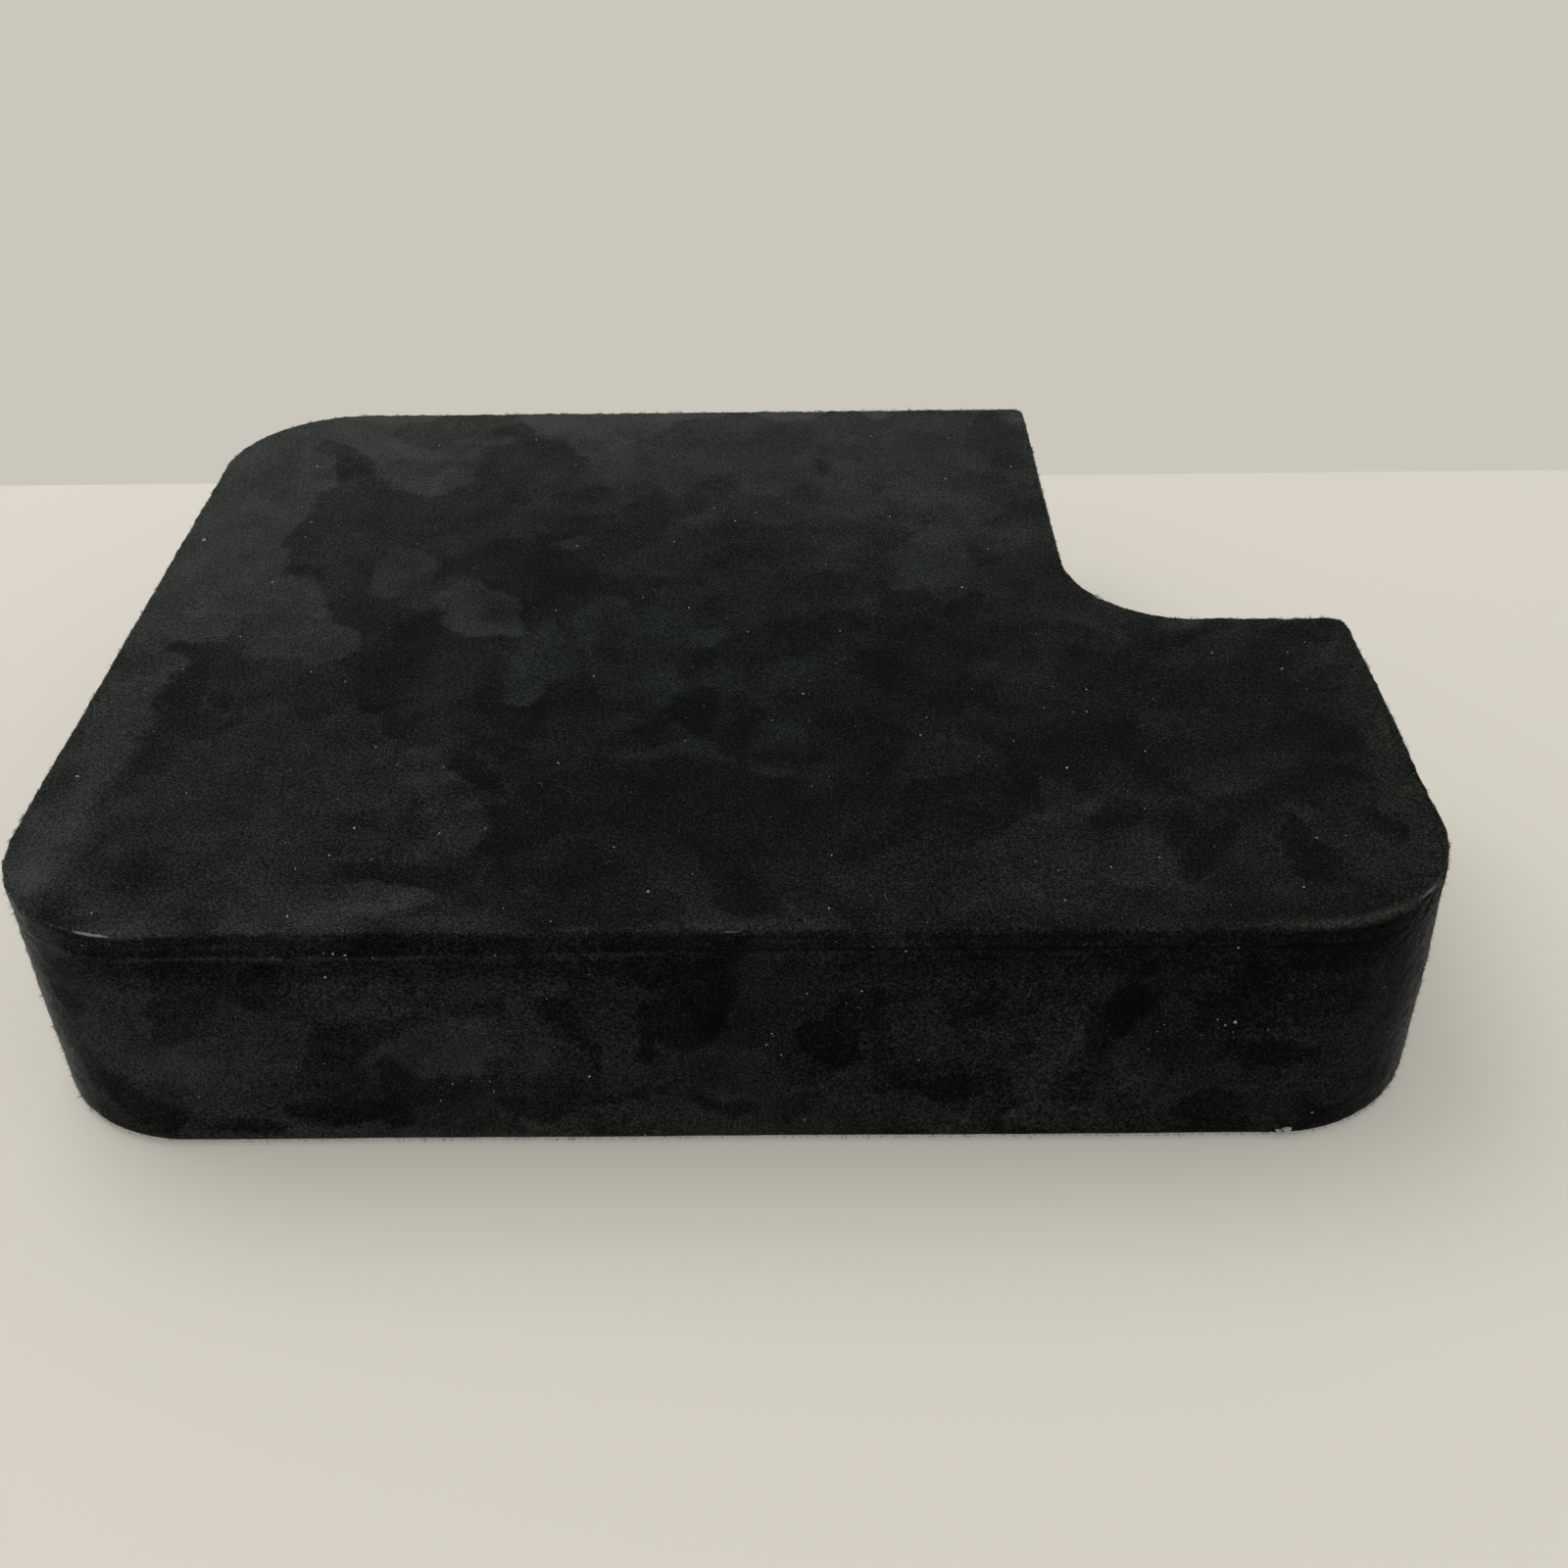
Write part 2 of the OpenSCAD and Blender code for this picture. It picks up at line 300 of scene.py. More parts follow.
# Soft washes over them, lighter or darker: x, y, half length, half width, change
topWashes = [
    (-25, 6, 9, 9, -0.12), (-34, 12, 7, 6, -0.06), (-3, 15, 14, 6, -0.11),
    (-25, -12, 7, 6, -0.13), (-5, -18, 6, 6, 0.09), (6, -40, 8, 8, -0.14),
    (-35, -34, 6, 5, 0.1), (-55, -35, 7, 5, -0.1), (-35, -55, 6, 5, -0.1),
    (-38, -75, 15, 5, 0.14), (-66, -75, 12, 5, 0.06), (-46, -66, 10, 3, 0.08),
    (48, -76, 12, 4, 0.1), (-22, 55, 8, 6, -0.13), (35, 45, 8, 8, 0.11),
    (2, 45, 9, 6, 0.08), (-40, 35, 18, 5, -0.06), (18, 76, 36, 5, 0.09),
    (-40, 75, 30, 4, 0.04), (-85, -65, 6, 6, 0.09), (-92, -68, 6, 8, 0.12),
    (-25, -45, 7, 5, -0.07), (-11, -39, 9, 3, -0.09), (55, -15, 6, 5, 0.07),
    (75, -15, 6, 5, -0.07), (41, -48, 3, 7, -0.05), (-49, -78, 8.5, 4, 0.36),
    (-35, -79, 9, 3.4, 0.3), (-19, -80.2, 9, 1.6, 0.16), (-3, -79.6, 9, 2.2, 0.22),
    (14, -79.6, 9, 2, 0.08), (-39, 1.6, 5, 4.5, -0.26), (-45, -43, 5, 3, -0.15),
    (-38.5, -49, 4, 3, -0.18), (8, -42, 5, 4, -0.18), (-26, -13, 4, 4, -0.13),
    (-31, 65, 4, 6, -0.13), (-93, -12, 6, 7, -0.19), (-59, -35, 5, 5, -0.1),
    (-4, -61, 8, 7, -0.1), (-50, -63, 8, 2.4, -0.1), (-97, -48, 3, 6, -0.18),
    (-79, 53, 4, 4, -0.2), (-95, 63, 5, 12, 0.12), (-59, -9, 4, 6, 0.12),
    (-77.5, -28, 4, 5, 0.12), (-50.5, -31, 4, 5, 0.12), (-38.5, -30, 3, 5, 0.13),
    (-8, -21, 4, 7, 0.13), (-12, 7, 8, 3, 0.13), (40.5, 18, 3, 5, 0.1),
    (-26, -74, 3, 5, 0.14), (15, -70, 3, 8, 0.12), (52, -71, 12, 3, 0.13),
    (88.5, -62, 5, 6, 0.1), (-94, -70, 5, 6, 0.2), (-90, -57, 4, 4, 0.14),
    (-75, -79, 7, 2.4, 0.13), (-38, -1, 4, 4, -0.12), (-43.5, 8.5, 4, 4, -0.14),
    (-55, 48, 4, 5, -0.14),
]
wallWashes = [
    (-72, 11, 13, 7, 0.17), (-62, 16, 7, 5, 0.08), (-35, 15, 11, 5, 0.12),
    (-24, 16, 6, 5, 0.08), (-15, 22, 5, 6, -0.12), (5, 21, 6, 8, -0.17),
    (15, 15, 5, 4, -0.1), (37, 18, 10, 7, 0.08), (37, 9, 6, 4, 0.08),
    (55, 24, 5, 6, -0.12), (75, 16, 6, 4, -0.07), (30, 33, 10, 3, 0.08),
    (-70, 31, 14, 4, 0.06), (-45, 33, 8, 3, 0.06), (5, 30, 7, 5, -0.08),
    (1, 21, 4, 4, -0.17), (4, 36.5, 6, 3, -0.1), (10, 14.5, 4, 3.5, -0.17),
    (-58, 19.5, 6, 3, -0.15), (58, 30.5, 4, 4, -0.13), (48, 21, 3, 6, 0.12),
    (37, 9, 3, 6, 0.12), (17, 3.5, 5, 3, 0.12), (-41, 24.5, 9, 3, 0.12),
    (-74, 22, 5, 5, 0.1),
]


def strayStrokes(count, width, low, high, seed):  # strokes at random places, each a change of tone
    draw = random.Random(seed)
    strokes = []
    for _ in range(count):
        size = draw.uniform(2.5, 12)
        tone = draw.choice((-1, 1)) * draw.uniform(0.4, 1) * nap["strayTone"]
        place = draw.uniform(-width, width), draw.uniform(low, high)
        strokes.append((*place, size * draw.uniform(1, 2), size * 0.7, draw.uniform(0, 360), tone,
                        draw.uniform(0.25, 0.8)))
    return strokes


def covers(across, up, places, strokes):  # yields each stroke's tone and how far it covers each point
    for i, (reach, size) in enumerate(nap["warps"]):
        across = across + reach * cloud(places, size, 1 + i)
        up = up + reach * cloud(places, size, 11 + i)
    uneven = [nap["uneven"] * cloud(places, nap["unevenSize"], seed) for seed in range(20, 26)]
    crisp, softer = nap["soft"]
    for i, (x, y, halfLength, halfWidth, degrees, strokeTone, soft) in enumerate(strokes):
        c, s = heading(degrees)
        ahead = ((across - x) * c + (up - y) * s) / halfLength
        left = ((up - y) * c - (across - x) * s) / halfWidth
        fade = crisp + softer * soft * (1 - nap["fade"] * smooth(0.85 + left))
        yield strokeTone, ramp(np.hypot(ahead, left) + uneven[i % 6], 1 + fade * 0.2, 1 - fade)


def brushed(across, up, places, ground, strays, strokes, washes):  # the tone at each point
    tone = ground
    for change, size, seed in nap["clouds"]:
        tone = tone + change * cloud(places, size, seed)
    for i, (strokeTone, cover) in enumerate(covers(across, up, places, strays + strokes)):
        change = strokeTone if i < len(strays) else (strokeTone - tone) * nap["cover"]
        tone = tone + change * cover
    for x, y, halfLength, halfWidth, change in washes:
        tone = tone + change * hump(np.hypot((across - x) / halfLength, (up - y) / halfWidth), 0, 1.4)
    return tone


def topTone(places):
    x, y = places[:, 0], places[:, 1]
    ground = nap["topGround"] + nap["topFrontLeft"] * hump(x, -58, 38) * ramp(y, -55, -72)
    # lighter towards the sides and the back: partly the nap, partly painted light
    for values, changes in ((x, nap["topSidesNapAndLight"]), (y, nap["topBackNapAndLight"])):
        for change, low, high in changes:
            ground = ground + change * ramp(values, low, high)
    strays = strayStrokes(nap["strayTop"], blockL / 2, -blockW / 2, blockW / 2, nap["seed"])
    return brushed(x, y, places, ground, strays, topStrokes, topWashes)


def wallTone(places, run):
    place, height = alongWall(run), places[:, 2]
    strays = strayStrokes(nap["strayWall"], wallLength / 2, -4, blockH, nap["seed"] + 1)
    # painted light: the wall lighter towards its foot from the floor's bounce, and round the left corner
    # where light grazes the nap
    ground = nap["wallGround"] + nap["wallFootBounce"] * ramp(height, 11, 2) + 0.12 * hump(place, -116, 26)
    ground += nap["wallLeft"] * stretch(place, nap["leftGround"])
    ground += nap["wallRight"] * stretch(place, nap["rightGround"])
    tone = brushed(place, height, places, ground, strays, wallStrokes, wallWashes)
    above = height - bandHigh.z - seamShift(run)
    front, ridge = stretch(place, nap["front"]), stretch(place, nap["ridge"])
    corners = np.maximum(stretch(place, nap["leftCorner"]), stretch(place, nap["rightCorner"]))
    clear = hump(place, 46, 34)  # the right of the front is brushed less
    allRound, alongFront = nap["bandDark"]
    tone -= nap["rimDark"] * ramp(above, -0.2, 0.5) * (1 - 0.7 * corners) * (1 - 0.75 * clear)
    band = hump(above, -2.4, 4.2) * (1 - 0.6 * corners) * (1 - 0.5 * clear)
    tone -= (alongFront * front + allRound) * band
    tone -= 0.05 * hump(place, 56, 26) * hump(height, 28.5, 3.5)
    # painted shade in the seam, and where it stands open
    tone -= nap["seamShade"] * hump(above, -0.05, 0.55) * (1 - 0.9 * ridge) * (1 - 0.7 * corners)
    tone -= nap["gapeShade"] * hump(above, 1.0, 2.2) * seamGape(run)
    tone += nap["cornerTop"] * stretch(place, nap["leftTop"]) * ramp(height, 31, 36)
    tone -= 0.06 * stretch(place, nap["rightWall"])
    stretched = np.column_stack([run, run * 0, above * nap["threadLong"] / nap["threadHigh"]])
    threads = cloud(stretched, nap["threadLong"], 43) * front * ramp(above, -2.2, -1.0)
    tone += nap["threads"] * threads * (1 - hump(above, 0, 0.6) * (1 - ridge))
    # the band's proud edge lighter: a painted highlight
    bits = np.clip(0.9 + 2 * cloud(places, 3, 41), 0, 1.8)
    tone += nap["ridgeHighlight"] * ridge * (1 - 0.45 * ramp(place, -64, -50)) * hump(above, -0.25, 0.8) * bits
    # painted light grazing the nap round the front's left corner
    corner = hump(place, -106, 16) * ramp(height, 1.5, 9.5) * (1 - 0.6 * ramp(height, 22, 32))
    return tone + nap["cornerGrazingLight"] * corner


# The suede as closed shells: an outer skin, lumpy and rubbed, and an inner one against the foam

def sectionArc(centreIn, centreUp, radius, first, last, steps):  # inset, height, outward lean, upward lean
    turns = [math.radians(first + (last - first) * i / steps) for i in range(steps + 1)]
    leans = [(math.cos(a), math.sin(a)) for a in turns]
    return [(centreIn - radius * out, centreUp + radius * up, out, up) for out, up in leans]


def sectionRise(inset, low, high, step):  # straight up the wall
    count = max(round((high - low) / step), 1)
    return [(inset, low + (high - low) * i / count, 1, 0) for i in range(count + 1)]


class Skin:  # gathers rings of points, and turns them into a mesh with a tone and a rub, worn nap with a painted highlight, at each point
    def __init__(self, name):
        self.name, self.points, self.faces = name, [], []
        self.tone, self.rubGlint = [], []

    def ring(self, places, tone, rubGlint):
        first = sum(len(p) for p in self.points)
        self.points.append(places)
        self.tone.append(tone)
        self.rubGlint.append(rubGlint)
        return list(range(first, first + len(places)))

    def plainRing(self, flat, height):
        return self.ring(lifted(flat, height), np.zeros(len(flat)), np.zeros(len(flat)))

    def cap(self, every, faces, flip):  # faces given by their places in a list of points
        for face in faces:
            corners = [every[v] for v in face]
            self.faces.append(corners[::-1] if flip else corners)

    def strip(self, a, b, closed):  # faces from ring a to ring b
        count = len(a) if closed else len(a) - 1
        for i in range(count):
            k = (i + 1) % len(a)
            self.faces.append((a[i], a[k], b[k], b[i]))

    def strips(self, rings, closed, flip):  # faces from each ring to the next
        for a, b in zip(rings, rings[1:]):
            self.strip(*((b, a) if flip else (a, b)), closed)

    def finished(self):
        piece = newPiece(self.name, np.concatenate(self.points), self.faces)
        for name, values in (("brushed", self.tone), ("rubbedGlint", self.rubGlint)):
            layer = piece.data.attributes.new(name, "FLOAT", "POINT")
            layer.data.foreach_set("value", np.concatenate(values).astype(np.float32))
        piece.data.validate()
        piece.data.shade_smooth()
        piece.data.set_sharp_from_angle(angle=math.radians(wear["sharpFrom"]))
        print(f"{self.name}: {len(self.faces)} faces")
        return piece


wear = {
    "sharpFrom": 62,  # degrees between two faces that meet in a crisp edge
    "lump": 0.16,  # how far the suede stands proud or hollow over the foam
    "lumpSize": 22.0,
    "nub": 0.17,  # small tufts standing off the suede, strongest at the front's corners
    "edgeNub": 0.221,  # and along the top edge
    "nubSize": 1.35,
    "pucker": 0.05,  # finer puckers of the glued suede
    "puckerSize": 5.0,
    "edgeR": 0.9,  # the nap fills the top edge out to this radius
    "edgeWander": 0.12,  # how far the top edge strays from straight
    "seamDip": 0.2,  # how far the seam wanders up and down
    "seamHigh": 0.5,  # how much higher it runs along the front
    "seamLow": 0.45,  # how much lower again along the front's left
    "seamClose": 0.18,  # how far the nap closes the seam from each side
    "seamGape": 0.04,  # how much further each side stands open at the front's right corner
    "lip": 0.3,  # the round of the band's cut edge
    "bead": 0.3,  # the top edge's raised bead at the front right
    "ridge": 0.2,  # the band's proud edge along the left of the front
    "footSag": 0.22,  # how far the band's fold hangs below its plain level
    "pressed": 0.4,  # how far the front's two corners are pressed in
    "rubbedGlint": (  # rubbed streaks on the top edge, worn and with a painted highlight: strength, place, half length, degrees up the edge, half width
        (0.92, -81.8, 5.6, 52, 24),
        (0.4, -88, 12, 50, 32),
        (0.5, 1, 4.5, 60, 26),
        (0.7, 95.6, 4.6, 62, 34),
    ),
    "seamFront": (-94, -78, 72, 90),  # stretches of the wall
    "seamLeft": (-110, -90, -45, -5),
    "ridgeReach": (-88, -70, -22, 4),
    "beadReach": (52, 86, 96, 104),
    "sharpReach": (-80, -62, 15, 30),
    "softReach": (30, 44, 80, 92),
    "pressedTop": (84, 98, 124, 140),  # at the right corner
    "pressedFoot": (-135, -122, -106, -96),  # at the left corner
}


def seamShift(run):  # how much higher or lower the seam runs than its plain height
    place = alongWall(run)
    front, left = stretch(place, wear["seamFront"]), stretch(place, wear["seamLeft"])
    x, y = (np.interp(run, wallRun[:-1], values) for values in wallPoints.T)
    bends = cloud(np.column_stack([x, y, run * 0]), 30, 13)
    return wear["seamDip"] * bends + wear["seamHigh"] * front - wear["seamLow"] * left


def seamGape(run):  # 1 where the seam stands open
    return hump(alongWall(run), 98, 7)


def rubbedGlintEdge(run, turn):  # 1 where the top edge's nap is rubbed flat and carries a painted highlight, by the turn from the wall to the top
    place = alongWall(run)
    return np.maximum.reduce([
        strength * hump(place, middle, half) * hump(turn, upward, wide)
        for strength, middle, half, upward, wide in wear["rubbedGlint"]
    ])


def edgeBead(run, inset):  # 1 on the raised bead round the front's right corner
    place = alongWall(run)
    middle, half = 0.7 - 0.5 * ramp(place, 68, 84), 2.3 - 0.9 * ramp(place, 84, 96)
    return stretch(place, wear["beadReach"]) * hump(inset, middle, half)


def edgeSharp(run):  # 1 where the rim's dark nap reaches up to the flat, below 0 where light nap reaches down
    place = alongWall(run)
    return stretch(place, wear["sharpReach"]) - 0.6 * stretch(place, wear["softReach"])


def edgeTone(run, inset, up):  # how much lighter the nap is along the top edge: standing nap and a painted highlight, and the rubbed bead with painted sheen
    bits = np.clip(0.6 + 0.9 * cloud(np.column_stack([run, run * 0, run * 0]), 7, 42), 0, 1.4)
    bead = nap["beadRubAndSheen"] * edgeBead(run, inset) * (0.45 + 0.55 * ramp(alongWall(run), 50, 104))
    return max(up, 0) * (nap["edgeNapAndHighlight"] * bits * hump(inset, 0.4, 1.0) + bead)


def wallBulge(places, run):  # how far the wall's suede stands out
    place, height = alongWall(run), places[:, 2]
    bulge = wear["lump"] * cloud(places, wear["lumpSize"], 11)
    bulge += wear["pucker"] * cloud(places, wear["puckerSize"], 12)
    bulge += wear["nub"] * cloud(places, wear["nubSize"], 18) * (0.25 + 0.75 * hump(np.abs(place), 98, 30))
    ridge = stretch(place, wear["ridgeReach"]) * (1 - 0.4 * ramp(place, -64, -50))
    ridge *= hump(height - bandHigh.z - seamShift(run), 0.05, 0.7)
    pressed = stretch(place, wear["pressedTop"]) * ramp(height, 18, 33)
    pressed += stretch(place, wear["pressedFoot"]) * ramp(height, 23.5, 5.5)
    return bulge + wear["ridge"] * ridge - wear["pressed"] * pressed


def topBulge(places):  # how far the top's suede stands up
    lumps = 0.2 * wear["lump"] * cloud(places, wear["lumpSize"], 11)
    return lumps + 0.5 * wear["pucker"] * cloud(places, wear["puckerSize"], 12)


def flatCap(ring, inset, step):  # a flat inside that ring: its points, and faces that count the ring's first
    xs = np.arange(-blockL / 2, blockL / 2, step)
    ys = np.arange(-blockW / 2, blockW / 2, step * block["flatRows"])
    grid = np.array([(x + (step / 2 if row % 2 else 0), y) for row, y in enumerate(ys) for x in xs])
    grid = grid[insideOutline(grid, inset + step * block["flatClear"])]
    every = [Vector(p) for p in ring] + [Vector(p) for p in grid]
    points, _, faces, sources, _, _ = delaunay_2d_cdt(every, [], [list(range(len(ring)))], 1, 1e-5)
    source = [s[0] for s in sources]
    return grid, [[source[v] for v in face] for face in faces]


def coverSection(fine):  # the top cover from its cut edge, over the top edge, to where its flat starts
    edgeR = wear["edgeR"]
    rise, edgeSteps, onFlat = block["coverOut" if fine else "coverIn"]
    section = sectionRise(0, coverLow.z - wear["seamClose"], blockH - edgeR, rise)[:-1]
    section += sectionArc(edgeR, blockH - edgeR, edgeR, 0, 90, edgeSteps)
    return section + [(edgeR + further, blockH, 0, 1) for further in onFlat]


def coverOuter(flat, height, inset, out, up):  # one ring of the top cover's outer skin: places, tone and rub
    run = wallRun[:-1]
    turn = math.degrees(math.atan2(up, out))
    places = lifted(flat, height)
    opened = seamShift(run) + wear["seamGape"] * seamGape(run)
    places[:, 2] += opened * ramp(height, blockH - wear["edgeR"], coverLow.z)
    wander = wear["edgeWander"] * cloud(places, 9, 15) + wear["edgeNub"] * cloud(places, wear["nubSize"], 18)
    grow = wallBulge(places, run) * (0.3 + 0.7 * out) + wander * hump(turn, 45, 70)
    places[:, :2] += wallNormals * (grow * out)[:, None]
    places[:, 2] += grow * up + wear["bead"] * edgeBead(run, inset) * max(up, 0)
    tone = wallTone(places, run)
    if up > 0:
        tone += (topTone(places) - tone) * ramp(turn - 30 * edgeSharp(run), 15, 60) + edgeTone(run, inset, up)
    return places, tone, rubbedGlintEdge(run, turn)


def buildTopCover():
    cover = Skin("topCover")
    skins = []
    for depth, step in zip((0, suedeT), block["flatStep"]):
        flip = depth > 0
        rings = []
        for inset, height, out, up in coverSection(not flip):
            flat, _ = ringAt(inset + depth * out)
            if flip:
                rings.append(cover.plainRing(flat, height - depth * up))
            else:
                rings.append(cover.ring(*coverOuter(flat, height, inset, out, up)))
        cover.strips(rings, True, flip)
        skins.append(rings)
        grid, faces = flatCap(flat, inset, step)
        places = lifted(grid, blockH - depth)
        if not flip:
            places[:, 2] += topBulge(places)
        tone = np.zeros(len(grid)) if flip else topTone(places)
        cover.cap(rings[-1] + cover.ring(places, tone, np.zeros(len(grid))), faces, flip)
    cover.strip(skins[1][0], skins[0][0], True)
    return cover.finished()


def bandSection(fine):  # the side band from its turned-under edge, up the wall to the seam
    edgeR, lip, low, high = block["edgeR"], wear["lip"], bandLow.z, bandHigh.z + wear["seamClose"]
    turnedSteps, edgeSteps, rise, fineRise, lipSteps = block["bandOut" if fine else "bandIn"]
    nearSeam = high - block["nearSeam"]
    section = [(inset, low, 0, -1) for inset in np.linspace(block["turnedW"], edgeR + 0.8, turnedSteps)]
    section += sectionArc(edgeR, low + edgeR, edgeR, -90, 0, edgeSteps)
    section += sectionRise(0, low + edgeR, nearSeam, rise)[1:]
    section += sectionRise(0, nearSeam, high - lip, fineRise)[1:-1]
    return section + sectionArc(lip, high - lip, lip, 0, 90, lipSteps)


def buildSideBand():
    band = Skin("sideBand")
    high = bandHigh.z + wear["seamClose"]
    jointX = (block["cornerR"] - block["notchL"] - block["notchEndR"]) / 2
    back = np.where(wallPoints[:, 1] > blockW / 2 - 0.01, np.abs(wallPoints[:, 0] - jointX), 1e9)
    first = int(back.argmin())

    def fromJoint(values):  # stations from the butt joint all the way round to it again
        rolled = np.roll(values, -first, axis=0)
        return np.concatenate([rolled, rolled[:1]])

    run, normals = fromJoint(wallRun[:-1]), fromJoint(wallNormals)
    skins = []
    for depth in (0, suedeT):
        rings = []
        for inset, height, out, up in bandSection(depth == 0):
            flat = fromJoint(ringAt(depth if depth and up > 0 else inset + depth * max(out, 0))[0])
            flat[0, 0], flat[-1, 0] = jointX - block["jointW"] / 2, jointX + block["jointW"] / 2
            if depth:
                rings.append(band.plainRing(flat, height - depth * min(up, 0)))
                continue
            places = lifted(flat, height)
            places[:, 2] += ramp(height, high - 8, high) * (seamShift(run) - wear["seamGape"] * seamGape(run))
            fold = hump(inset, 1.3, 1.1) * max(-up, 0)
            places[:, 2] -= wear["footSag"] * (1 + cloud(places, 14, 16)) * fold
            places[:, :2] += normals * (wallBulge(places, run) * max(out, 0))[:, None]
            rings.append(band.ring(places, wallTone(places, run), np.zeros(len(flat))))
        band.strips(rings, False, depth > 0)
        skins.append(rings)
    band.strip(skins[0][-1], skins[1][-1], False)
    band.strip(skins[1][0], skins[0][0], False)
    for end in (0, -1):  # the two ends at the butt joint
        around = [ring[end] for ring in skins[0]] + [ring[end] for ring in reversed(skins[1])]
        band.faces.append(around if end == 0 else around[::-1])
    return band.finished()


def buildBasePanel():
    panel = Skin("basePanel")
    eased = block["eased"]
    inner, top = baseInset + eased, baseHigh.z
    section = ((inner, 0), (baseInset, eased), (baseInset, top - eased), (inner, top))
    rings = [panel.plainRing(ringAt(inset)[0], height) for inset, height in section]
    panel.strips(rings, True, False)
    grid, faces = flatCap(ringAt(inner)[0], inner, block["flatStep"][2])
    for ring, height, flip in ((rings[0], 0, True), (rings[-1], top, False)):
        places = lifted(grid, height)
        panel.cap(ring + panel.ring(places, topTone(places), np.zeros(len(grid))), faces, flip)
    return panel.finished()


# Nap: short fibres standing off the suede, each a closed spike with three sides

fibre = {
    "top": 44000,
    "wall": 43500,
    "corner": 6000,  # more of them round the front's two corners, between these places on each side
    "cornerReach": (88, 114),
    "seamClear": 0.12,  # none this near the seam's middle
    "edge": 36000,
    "edgeTurn": (-5, 95),  # degrees, from the wall to the top
    "footShare": 0.2,  # of the edge's fibres
    "footTurn": 0.3,  # how much of the bottom edge they take, none under the block
    "length": (0.28, 0.62),
    "edgeLength": (0.2, 0.48),
    "width": (0.035, 0.065),
    "lean": (14, 46),  # degrees up from the suede
    "root": 0.04,  # how deep it starts
    "flow": 400,  # degrees that the nap's flow swings round, and how far it lies one way
    "flowSize": 32.0,
    "spread": 38,  # degrees either side of that
    "tuftSize": 1.1,
    "tuftLean": 85,  # how many degrees steeper the fibres of a tuft stand
    "tuftLong": (0.6, 2.0),  # a fibre's length outside a tuft, and how much a tuft adds
    "shadeSpread": 0.2,
    "shades": 6,
}


def spikes(name, roots, ways, lengths, widths, shades):
    side = np.cross(ways, (0.31, 0.87, 0.38))
    side /= np.linalg.norm(side, axis=1)[:, None]
    third = np.cross(ways, side)
    corners = [roots + (side * math.cos(turn) + third * math.sin(turn)) * widths[:, None] / 2
               for turn in (0, math.tau / 3, 2 * math.tau / 3)]
    points = np.stack([*corners, roots + ways * lengths[:, None]], axis=1).reshape(-1, 3)
    first = np.arange(len(roots))[:, None, None] * 4
    faces = (first + np.array([(0, 1, 3), (1, 2, 3), (2, 0, 3), (2, 1, 0)])).reshape(-1, 3)
    piece = newPiece(name, points, faces.tolist())
    piece.data.polygons.foreach_set("material_index", np.repeat(shades, 4).astype(np.int32))
    print(f"{name}: {len(roots)} spikes")
    return piece


def napOn(name, places, outs, across, tones, lengths, draw):  # fibres along the nap's flow, in its shades
    count = len(places)
    tufted = np.clip(cloud(places, fibre["tuftSize"], 33), 0, 0.6)
    flow = fibre["flow"] * cloud(places, fibre["flowSize"], 31) + draw.uniform(-1, 1, count) * fibre["spread"]
    up = np.cross(outs, across)
    lean = np.radians(draw.uniform(*fibre["lean"], count) + fibre["tuftLean"] * tufted)
    flow = np.radians(flow)
    lying = across * np.cos(flow)[:, None] + up * np.sin(flow)[:, None]
    ways = outs * np.sin(lean)[:, None] + lying * np.cos(lean)[:, None]
    lengths = draw.uniform(*lengths, count) * (fibre["tuftLong"][0] + fibre["tuftLong"][1] * tufted)
    falling = ways[:, 2] < 0
    room = places[falling, 2] / -ways[falling, 2]  # none goes below the block
    lengths[falling] = np.minimum(lengths[falling], room)
    shades = (tones + draw.normal(0, fibre["shadeSpread"], count)) * fibre["shades"]
    return spikes(name, places - outs * fibre["root"], ways, lengths,
                  draw.uniform(*fibre["width"], count), np.clip(shades, 0, fibre["shades"] - 1).astype(int))


def onWall(run, height):  # places on the wall's suede, its outward normals, and the direction along it
    stations = (*wallPoints.T, *wallNormals.T)
    ring = [np.interp(run, wallRun, np.append(values, values[0])) for values in stations]
    outs = np.column_stack([ring[2], ring[3], run * 0])
    outs /= np.linalg.norm(outs, axis=1)[:, None]
    places = np.column_stack([ring[0], ring[1], height])
    places += outs * wallBulge(places, run)[:, None]
    return places, outs, np.column_stack([-outs[:, 1], outs[:, 0], run * 0])


def onTop(draw, tries, count, inset=1.0):  # the same for random places on the top, at its plain level
    flat = draw.uniform(-1, 1, (tries, 2)) * (blockL / 2, blockW / 2)
    flat = flat[insideOutline(flat, inset)][:count]
    outs, across = (np.tile(way, (len(flat), 1)) for way in ((0.0, 0.0, 1.0), (1.0, 0.0, 0.0)))
    return lifted(flat, blockH), outs, across


def topNap():
    draw = np.random.default_rng(nap["seed"])
    places, outs, across = onTop(draw, fibre["top"] * 2, fibre["top"])
    places[:, 2] += topBulge(places)
    return napOn("topNap", places, outs, across, topTone(places), fibre["length"], draw)


def wallNap():
    draw = np.random.default_rng(nap["seed"] + 1)
    run = draw.uniform(0, wallLength, fibre["wall"])
    sides = draw.choice((-1, 1), fibre["corner"])
    run = np.append(run, sides * draw.uniform(*fibre["cornerReach"], fibre["corner"]) % wallLength)
    height = draw.uniform(block["edgeR"], blockH - 1, len(run))
    seam = (bandHigh.z + coverLow.z) / 2 + seamShift(run)
    clear = np.abs(height - seam) > fibre["seamClear"]
    run, height = run[clear], height[clear]
    places, outs, across = onWall(run, height)
    return napOn("wallNap", places, outs, across, wallTone(places, run), fibre["length"], draw)


